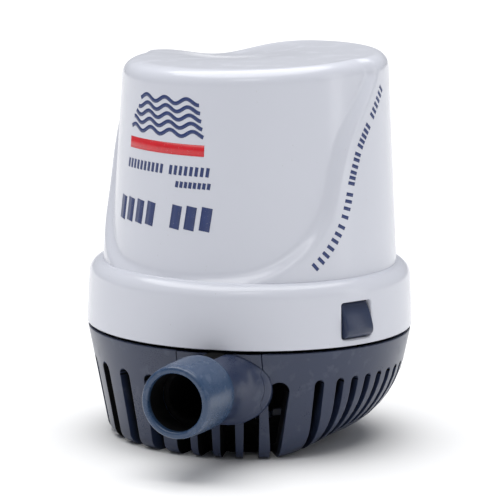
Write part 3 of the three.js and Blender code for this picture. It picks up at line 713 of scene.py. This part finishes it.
# 0 outside the label panel and 1 inside it, past the bevel.
def panelShare(angle, height):
    turn = np.abs((angle / deg - capLook["panelTurn"] + 180) % 360 - 180) * panelScale
    spot = np.stack(np.broadcast_arrays(turn, height), -1)
    nearest = np.full(spot.shape[:-1], 1e9)
    side = np.zeros(spot.shape[:-1])
    for start, end in zip(panelLine[:-1], panelLine[1:]):
        along = end - start
        share = np.clip(((spot - start) @ along) / (along @ along), 0, 1)
        away = spot - start - share[..., None] * along
        far = np.hypot(away[..., 0], away[..., 1])
        left = away[..., 1] * along[0] - away[..., 0] * along[1]
        side = np.where(far < nearest, np.sign(left), side)
        nearest = np.minimum(far, nearest)
    return smooth((nearest * side + capLook["bevel"] / 2) / capLook["bevel"])


def topHeight(x, y):
    across = (x * math.cos(130 * deg) + y * math.sin(130 * deg)) / 52
    beside = (x * math.sin(130 * deg) - y * math.cos(130 * deg)) / 52
    tilt = (x * math.cos(28 * deg) + y * math.sin(28 * deg)) / 52
    valley = 5 * smooth((across + 0.35) / 1.3) * np.exp(-((beside / 0.4) ** 2))
    return 152.2 + 2 * tilt - valley


def towerRadius(angle, height):
    plain = capLook["towerFoot"] - (height - capLook["shoulder"]) * capLook["towerLean"]
    return plain - capLook["panelDepth"] * panelShare(angle, height)


def skirtRadius(angle, height):
    return planRadius(angle) + 0.4 - (height - capLow.z) * capLook["skirtLean"]


def capSkin(name, inset, columns, towerRows, roundRows, topRows):
    around = circle(columns)
    shoulder = capLook["shoulder"]
    skirtTop = shoulder - capLook["round"] - inset * 0.6
    foot = capLow.z - (1 if inset else 0)
    rings = []
    if not inset:
        rings.append(polar(skirtRadius(around, foot) - 0.35, around, foot))
    start = foot if inset else foot + 0.35
    for share in np.linspace(0, 1, 10):
        height = start + (skirtTop - start) * share
        rings.append(polar(skirtRadius(around, height) - inset, around, height))
    shares = (np.arange(roundRows) + 1) / (roundRows + 1) * math.pi / 2
    outer = skirtRadius(around, skirtTop) - inset
    inner = towerRadius(around, shoulder) - inset
    reach = np.minimum(capLook["round"], outer - inner)
    for turn in shares:
        height = skirtTop + capLook["round"] * math.sin(turn)
        rings.append(polar(outer - reach * (1 - math.cos(turn)), around, height))
    edge = topHeight(52 * np.cos(around), 52 * np.sin(around)) - capLook["round"] - inset * 0.7
    start = shoulder - inset * 0.6
    for share in np.linspace(0, 1, towerRows + 1):
        height = start + share * (edge - start)
        rings.append(polar(towerRadius(around, height) - inset, around, height))
    rounding = capLook["round"] - inset * 0.3
    rimRadius = towerRadius(around, edge) - inset
    for turn in shares:
        height = edge + rounding * math.sin(turn)
        rings.append(polar(rimRadius - rounding * (1 - math.cos(turn)), around, height))
    for share in np.linspace(1, 0, topRows, endpoint=False):
        reach = (rimRadius - rounding) * share
        rings.append(polar(reach, around, topHeight(reach * np.cos(around), reach * np.sin(around)) - inset))
    return skin(name, (0, 0, foot), rings, (0, 0, topHeight(0, 0) - inset), finishes["white_plastic"])


latchLook = {"width": 13.6, "clearance": 0.8, "windowLow": 47.8, "windowHigh": 62.2, "corner": 1.2}


def windowTool(turn):
    # a rounded window whose mouth flares out to the skirt, so that its edge is soft
    half = latchLook["width"] / 2 + latchLook["clearance"]
    low, high, corner = latchLook["windowLow"], latchLook["windowHigh"], latchLook["corner"]
    outline = []
    corners = ((half, high, 0), (-half, high, 90), (-half, low, 180), (half, low, 270))
    for centreX, centreZ, start in corners:
        inX = centreX - math.copysign(corner, centreX)
        inZ = centreZ + (corner if centreZ == low else -corner)
        outline += arc((inX, inZ), corner, start, start + 90, 5)
    outline = np.array(outline)
    middle = np.array([0, (low + high) / 2])
    rings = []
    for depth, swell in ((-9, 0), (-0.6, 0), (-0.3, 0.08), (-0.1, 0.26), (0, 0.55), (1.2, 0.6)):
        grown = outline + np.sign(outline - middle) * swell
        angle = turn + grown[:, 0] / 64.5
        rings.append(polar(skirtRadius(angle, grown[:, 1]) + depth, angle, grown[:, 1]))
    centre = lambda ring: np.mean(ring, 0)
    return skin("window", centre(rings[0]), rings, centre(rings[-1]))


def bossPlace():
    low, high = cornersOf("cable_grommet")
    return (low.x + high.x) / 2, (low.z + high.z) / 2


glandLook = {"boss": 8.2, "bossDepth": 7.2, "hole": 5.3}
glandX, glandZ = bossPlace()
glandFace = capHigh.y


def alongGland(profile, columns=64):
    return outwardRings(profile, glandX, glandFace, glandZ, columns)


def glandRod(name, radius, start, end):
    rings = alongGland([(radius, start), (radius, end)])
    return skin(name, (glandX, glandFace - start, glandZ), rings, (glandX, glandFace - end, glandZ))


def makeCap():
    look = capLook
    piece = capSkin("capShell", 0, look["columns"], look["towerRows"], look["roundRows"], look["topRows"])
    combine(piece, capSkin("capHollow", look["wall"], 120, 24, 4, 6))
    reach, depth = glandLook["boss"], glandLook["bossDepth"]
    boss = alongGland([(reach - 0.5, 0), (reach - 0.15, 0.15), (reach, 0.5), (reach, depth)])
    back = (glandX, glandFace - depth, glandZ)
    combine(piece, skin("boss", (glandX, glandFace, glandZ), boss, back), "UNION")
    combine(piece, glandRod("glandHole", glandLook["hole"], -6, 15))
    for turn in latchTurns.values():
        combine(piece, windowTool(turn))
    return piece


cap = makeCap()
roundShaded(cap)
placed(cap, pump, "cap", slot="white_plastic")
print("cap made", len(cap.data.polygons))


# release latches

def latchSide():
    face = baseHigh.x - 1.4
    nose = throughPoints([(face + 1.2, 48.4), (face + 3.1, 50), (face + 3.1, 52.6), (face + 1.2, 57.4),
                          (face - 1.4, 61.6)], 24)
    hinge = arc((56.2, 63.4), 1.6, -40, 180, 14)
    return [(54.9, 35), (59.2, 35), (59.2, 37.6), (57.2, 37.6), (57.2, 48.4), *nose, (57.6, 61.6), *hinge]


def makeLatch(side, turn):
    width = latchLook["width"]
    outline = [(x, -width / 2, z) for x, z in latchSide()]
    piece = prism("latchButton_" + side, outline, (0, width, 0), finishes["slate_plastic"])
    piece.data.transform(Matrix.Rotation(turn, 4, "Z"))
    soften = piece.modifiers.new("soften", "BEVEL")
    soften.width = 0.7 * mm
    soften.segments = 3
    soften.limit_method = "ANGLE"
    soften.angle_limit = 50 * deg
    settle(piece)
    roundShaded(piece, 40)
    markDepth(piece, np.zeros(len(piece.data.vertices)))
    placed(piece, "latch_" + side + "_arm", "latch_" + side, slot="slate_plastic")


for side, turn in latchTurns.items():
    makeLatch(side, turn)
print("latches made")


# outlet: hose barrel, neck and the collar against the wall

outletSizes = {"bore": 11.3, "hose": 14.3, "neckBore": 9.6, "spigot": 11.6, "spigotEnd": -84, "columns": 128}


def makeBarrel():
    hose, bore = outletSizes["hose"], outletSizes["bore"]
    start = nozzleHigh.y
    length = nozzleHigh.y - nozzleLow.y
    outside = throughPoints([(hose - 1.0, 0), (hose - 0.1, 1.2), (hose + 0.25, 4.6), (hose + 0.2, 12),
                             (hose - 0.1, length - 3.2), (hose - 0.35, length - 1.6)], 30)
    lip = arc((hose - 1.6, length - 1.25), 1.25, 10, 90, 8)
    inside = arc((bore + 0.9, length - 0.9), 0.9, 90, 180, 6)
    profile = [(12.1, 0), *outside, *lip, *inside, (bore, length - 2.7), (bore, 10.6), (12.1, 10.6)]
    rings = outwardRings(profile, outletX, start, outletZ, outletSizes["columns"])
    piece = loopSkin("hoseBarrel", rings, finishes["outlet_plastic"])
    spots = pointsOf(piece)
    reach = np.hypot(spots[:, 0] - outletX, spots[:, 2] - outletZ)
    # painted shade: the bore darkens towards the neck and its deep faces go near-black
    markDepth(piece, np.clip((spots[:, 1] - nozzleLow.y - 1.0) * (reach < bore + 0.6), 0, 12))
    roundShaded(piece, 40)
    placed(piece, pump, "outlet_nozzle", slot="outlet_plastic")


makeBarrel()

# The neck's rings: sideways shift, Y, shift in height, half width, half height and yaw in degrees.
hornRings = [(0, -73, 0, 12.8, 12.8, 0), (0, -69.5, 0, 12.8, 12.8, 0), (0.3, -66, -0.1, 13.0, 12.8, 5),
             (1.2, -63, -0.5, 13.9, 13.1, 11), (2.4, -61.2, -1.0, 15.4, 13.8, 17),
             (3.3, -60.1, -1.4, 16.4, 14.3, 21), (3.7, -59.0, -1.5, 16.8, 14.5, 22),
             (3.8, -57.4, -1.5, 16.7, 14.4, 22), (3.8, -46, -1.5, 16.5, 14.2, 22)]


def hornRing(shift, y, lift, wide, tall, yaw, columns):
    around = circle(columns)
    across = wide * np.cos(around)
    return np.stack([outletX + shift + across * math.cos(yaw * deg), y + across * math.sin(yaw * deg),
                     outletZ + lift + tall * np.sin(around)], -1)


# What the base's leaning wall sweeps as the pump body lifts off it.
def liftPath():
    around = circle(strainerLook["columns"])
    reach = planRadius(around) + gap
    swept = skin("liftPath", (0, 0, -1), [polar(reach, around, -1), polar(reach, around, 60)], (0, 0, 60))
    combine(swept, block("notchRoom", (outletX - plateHalf, -90, -2), (outletX + plateHalf, 0, 61)))
    for lift in (1.5, 3, 4.5, 6, 7.5):
        wall = strainerSkin("wallLowered", gap, 60)
        combine(wall, notch(plateHalf, 70))
        wall.data.transform(Matrix.Translation((0, 0, -lift * mm)))
        combine(swept, wall, "UNION")
    return swept


def makeNeck():
    # the collar stands just clear of the base's wall, and the plate fills the notch in it
    smoothRings = throughPoints(hornRings, 40)
    columns = outletSizes["columns"]
    rings = [hornRing(*values, columns) for values in smoothRings]
    horn = skin("outletNeck", (outletX, -73, outletZ), rings, rings[-1].mean(0), finishes["slate_plastic"])
    combine(horn, strainerSkin("wallForm", gap, 60))
    # the collar's overhang beside the notch stays on the base, so that the rest can lift past it
    lip = newPiece("collarLip", [], [])
    lip.data = horn.data.copy()
    combine(lip, liftPath(), "INTERSECT")
    combine(lip, block("rimTrim", (-20, -90, rim - 0.2), (60, -30, 70)))
    combine(horn, liftPath())
    plate = strainerSkin("plate")
    combine(plate, notch(plateHalf, rim + 4), "INTERSECT")
    combine(horn, plate, "UNION")
    through = outwardRings([(12.6, 0), (12.8, 18)], outletX, -54, outletZ, columns)
    combine(horn, skin("through", (outletX, -54, outletZ), through, (outletX, -72, outletZ)), "UNION")
    reach, start, end = outletSizes["spigot"], -54, outletSizes["spigotEnd"]
    spigot = outwardRings([(reach, 0), (reach, start - end)], outletX, start, outletZ, columns)
    combine(horn, skin("spigot", (outletX, start, outletZ), spigot, (outletX, end, outletZ)), "UNION")
    combine(horn, block("rimTrim", (-20, -90, rim - 0.2), (60, -30, 70)))
    reach = outletSizes["neckBore"]
    bore = outwardRings([(reach, 0), (reach, 90)], outletX, -20, outletZ, 64)
    combine(horn, skin("bore", (outletX, -20, outletZ), bore, (outletX, -110, outletZ)))
    return horn, lip


neck, collarLip = makeNeck()
spots = pointsOf(neck)
turns = np.arctan2(spots[:, 1], spots[:, 0])
reach = np.hypot(spots[:, 0], spots[:, 1])
inBore = np.hypot(spots[:, 0] - outletX, spots[:, 2] - outletZ) < outletSizes["neckBore"] + 0.1
inBore |= spots[:, 1] < -73.5  # the spigot inside the barrel
# painted shade: the bore, the spigot and the parts sunk inside the base's wall are darkened or made
# near-black
markDepth(neck, np.where(inBore, 8, np.clip(outerAt(spots[:, 2], turns) - reach - 1, 0, 12)))
roundShaded(neck, 38)
print("outlet made", len(neck.data.polygons))


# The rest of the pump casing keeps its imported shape, with the neck taken off it.
def makeCasing():
    source = frame["nodes"]["volute_housing"]
    piece = bpy.data.objects.new("pumpCasing", source.data.copy())
    scene.collection.objects.link(piece)
    outwards(piece)
    combine(piece, block("neckRoom", (-6, -90, 8), (42, -52, rim - 0.2)))
    # painted shade: every face of the casing gets the near-black finish
    markDepth(piece, np.full(len(piece.data.vertices), 2.6))
    return roundShaded(piece, 28)


casing = makeCasing()
placed(casing, pump, "volute_housing", slot="slate_plastic")
attribute(collarLip, "depth", np.zeros(len(collarLip.data.vertices)))
roundShaded(collarLip, 38)
for piece, carrier in ((neck, pump), (collarLip, "strainer")):
    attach(piece, carrier)


# cable gland

def makeGland():
    grommet = [(2.6, -2.2), (5.6, -2.4), (6.6, -2.1), (7, -1.5), (7, -0.3), (5, -0.3), (5, 9.9), (2.6, 9.9)]
    piece = loopSkin("cableGrommet", alongGland(grommet), finishes["rubber"])
    roundShaded(piece, 35)
    placed(piece, pump, "cable_grommet", slot="rubber")


makeGland()


# printed marks: plain waves, bars and ticks laid on the cap

def strokeTree():
    # sweeps a flat bar along each line on the cap, lying on the surface
    tree = bpy.data.node_groups.new("inkStrokes", "GeometryNodeTree")
    for name, kind in (("Geometry", "NodeSocketGeometry"), ("Breadth", "NodeSocketFloat"),
                       ("Thickness", "NodeSocketFloat"), ("Finish", "NodeSocketMaterial")):
        tree.interface.new_socket(name, in_out="INPUT", socket_type=kind)
    tree.interface.new_socket("Geometry", in_out="OUTPUT", socket_type="NodeSocketGeometry")
    graph = Graph(tree)
    entry = tree.nodes.new("NodeGroupInput")
    given = {socket.name: Wire(graph, socket) for socket in entry.outputs if socket.name}
    lines = graph.add("GeometryNodeMeshToCurve", {}, {"Mesh": given["Geometry"]})
    facing = graph.add("GeometryNodeInputNamedAttribute", {"data_type": "FLOAT_VECTOR"}, {"Name": "facing"})
    upright = graph.add("GeometryNodeSetCurveNormal", {"mode": "FREE"}, {"Curve": lines, "Normal": facing})
    section = graph.add("GeometryNodeCurvePrimitiveQuadrilateral", {}, {
        "Width": given["Thickness"], "Height": given["Breadth"]})
    swept = graph.add("GeometryNodeCurveToMesh", {}, {
        "Curve": upright, "Profile Curve": section, "Fill Caps": True})
    plain = graph.add("GeometryNodeRealizeInstances", {}, {"Geometry": swept})
    done = graph.add("GeometryNodeSetMaterial", {}, {"Geometry": plain, "Material": given["Finish"]})
    leave = tree.nodes.new("NodeGroupOutput")
    tree.links.new(done.socket, leave.inputs["Geometry"])
    return tree


strokes = strokeTree()


def onTower(turn, height):
    # a point of the tower's surface, at a plan angle in degrees, and the way it faces
    angle = np.asarray(turn, float) * deg
    height = np.asarray(height, float) + 0 * angle
    spot = polar(towerRadius(angle, height), angle, height)
    step = 0.4
    aside = polar(towerRadius(angle + step / 55, height), angle + step / 55, height) - spot
    above = polar(towerRadius(angle, height + step), angle, height + step) - spot
    facing = np.cross(aside, above)
    return spot, facing / np.linalg.norm(facing, axis=-1, keepdims=True)


def inkMarks(name, lines, breadth, ink):
    # each line is a list of (plan angle, height)
    spots, facings, edges = [], [], []
    for line in lines:
        line = np.asarray(line, float)
        spot, facing = onTower(line[:, 0], line[:, 1])
        first = len(spots)
        spots += list(spot)
        facings += list(facing)
        edges += [(first + i, first + i + 1) for i in range(len(line) - 1)]
    piece = newPiece(name, spots, [])
    piece.data.edges.add(len(edges))
    piece.data.edges.foreach_set("vertices", np.ravel(edges))
    attribute(piece, "facing", facings, "FLOAT_VECTOR")
    withTree(piece, strokes, {"Breadth": breadth * mm, "Thickness": 0.16 * mm, "Finish": ink})
    outwards(piece)
    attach(piece, pump)


def sideways(start, end, height, steps=24):
    return [(turn, height) for turn in np.linspace(start, end, steps)]


def upright(turn, low, high, lean=0.0):
    return [(turn, low), (turn + lean, high)]


def panelPrint():
    left, right = -128.0, -86.0
    waves = []
    for row in range(5):
        turns = np.linspace(left + 1.6 * row, right - 0.6 * row, 80)
        swell = 1.05 * np.sin((turns - left) * 0.55 + row * 0.5)
        waves.append(np.stack([turns, 126.8 + 3.1 * row + swell], -1))
    inkMarks("waveMark", waves, 1.5, navyInk)
    inkMarks("redBar", [sideways(left - 0.5, right + 0.5, 120.6)], 4.4, redInk)
    small = [upright(turn, 110.6, 114.2, 0.5)
             for turn in np.arange(left - 1, right + 3, 2.5) if abs(turn + 105) > 1.4]
    small += [upright(turn, 105.8, 108.2, 0.4) for turn in np.arange(right - 12, right + 4, 2.1)]
    inkMarks("smallTicks", small, 1.35, navyInk)
    bold = [upright(turn, 89.6, 98.8, 1.3) for turn in np.arange(-133, -80, 6.9) if abs(turn + 105.4) > 2]
    inkMarks("boldBars", bold, 4.4, navyInk)


def capePrint():
    # ticks that follow the panel's edge, a little outside it
    line = throughPoints(panelEdge, 400)
    flat = line * [panelScale, 1]
    steps = np.diff(flat, axis=0)
    lengths = np.hypot(steps[:, 0], steps[:, 1])
    run = np.concatenate([[0], np.cumsum(lengths)])
    across = np.stack([steps[:, 1], -steps[:, 0]], -1) / lengths[:, None]
    marks = []
    words = ((53, 69), (72, 81), (84, 98.5), (101.5, 114), (117, 132))
    for start, end in words:
        for place in np.arange(start, end, 2.6):
            i = int(np.searchsorted(run, place))
            if i >= len(across):
                continue
            near, far = flat[i] + across[i] * 6.4, flat[i] + across[i] * 9.8
            marks.append([(capLook["panelTurn"] + near[0] / panelScale, near[1]),
                          (capLook["panelTurn"] + far[0] / panelScale, far[1])])
    inkMarks("capeTicks", marks, 1.35, navyInk)


panelPrint()
capePrint()
print("marks printed")


# floor, light and camera

def makeFloor():
    finish = Finish("paleFloor", Specular_IOR_Level=0.2)
    shade = finish.between(finish.noise(60, 4.0), tone((0.86, 0.86, 0.86)), tone((0.90, 0.90, 0.90)))
    paper = finish.wear(Base_Color=shade, Roughness=finish.noise(3) * 0.1 + 0.6)
    floor = newPiece("floor", [(-6000, -6000, 0), (6000, -6000, 0), (6000, 6000, 0), (-6000, 6000, 0)],
                     [(0, 1, 2, 3)], paper)


def softbox(name, place, size, power, aim=(0, 0, 0.08), color=(1, 1, 1)):
    lamp = bpy.data.lights.new(name, "AREA")
    lamp.shape = "RECTANGLE"
    lamp.size, lamp.size_y = size
    lamp.energy = power
    lamp.color = color
    lampObject = bpy.data.objects.new(name, lamp)
    lampObject.location = place
    lampObject.rotation_euler = (Vector(aim) - Vector(place)).to_track_quat("-Z", "Y").to_euler()
    scene.collection.objects.link(lampObject)


lightLook = {"room": 0.27, "skylight": 3.6, "softness": 70, "strip": 1.0, "side": 1.1}


def lightUp():
    world = bpy.data.worlds.new("studio")
    scene.world = world
    world.use_nodes = True
    world.node_tree.nodes["Background"].inputs["Color"].default_value = (0.93, 0.95, 1.0, 1)
    world.node_tree.nodes["Background"].inputs["Strength"].default_value = lightLook["room"]
    sky = bpy.data.lights.new("skylight", "SUN")
    sky.energy = lightLook["skylight"]
    sky.angle = lightLook["softness"] * deg
    skyObject = bpy.data.objects.new("skylight", sky)
    skyObject.rotation_euler = (-7 * deg, -7 * deg, 0)
    scene.collection.objects.link(skyObject)
    softbox("stripFront", (0.30, -0.85, 0.95), (0.5, 0.03), lightLook["strip"])
    softbox("sideRight", (1.1, 0.25, 0.30), (0.30, 0.8), lightLook["side"])
    scene.view_settings.view_transform = "Standard"


view = {"azimuth": 24.5, "elevation": 10.0, "distance": 1.5, "aim": 0.0735, "roll": 0.55, "lens": 270}


def aimCamera():
    lens = bpy.data.cameras.new("camera")
    lens.lens = view["lens"]
    lens.sensor_width = 36
    lens.clip_end = 50
    camera = bpy.data.objects.new("camera", lens)
    turn, rise = view["azimuth"] * deg, view["elevation"] * deg
    away = Vector((math.sin(turn) * math.cos(rise), -math.cos(turn) * math.cos(rise), math.sin(rise)))
    camera.location = Vector((0, 0, view["aim"])) + away * view["distance"]
    look = (-away).to_track_quat("-Z", "Y").to_matrix()
    camera.rotation_euler = (look @ Matrix.Rotation(view["roll"] * deg, 3, "Z")).to_euler()
    scene.collection.objects.link(camera)
    scene.camera = camera


makeFloor()
lightUp()
aimCamera()
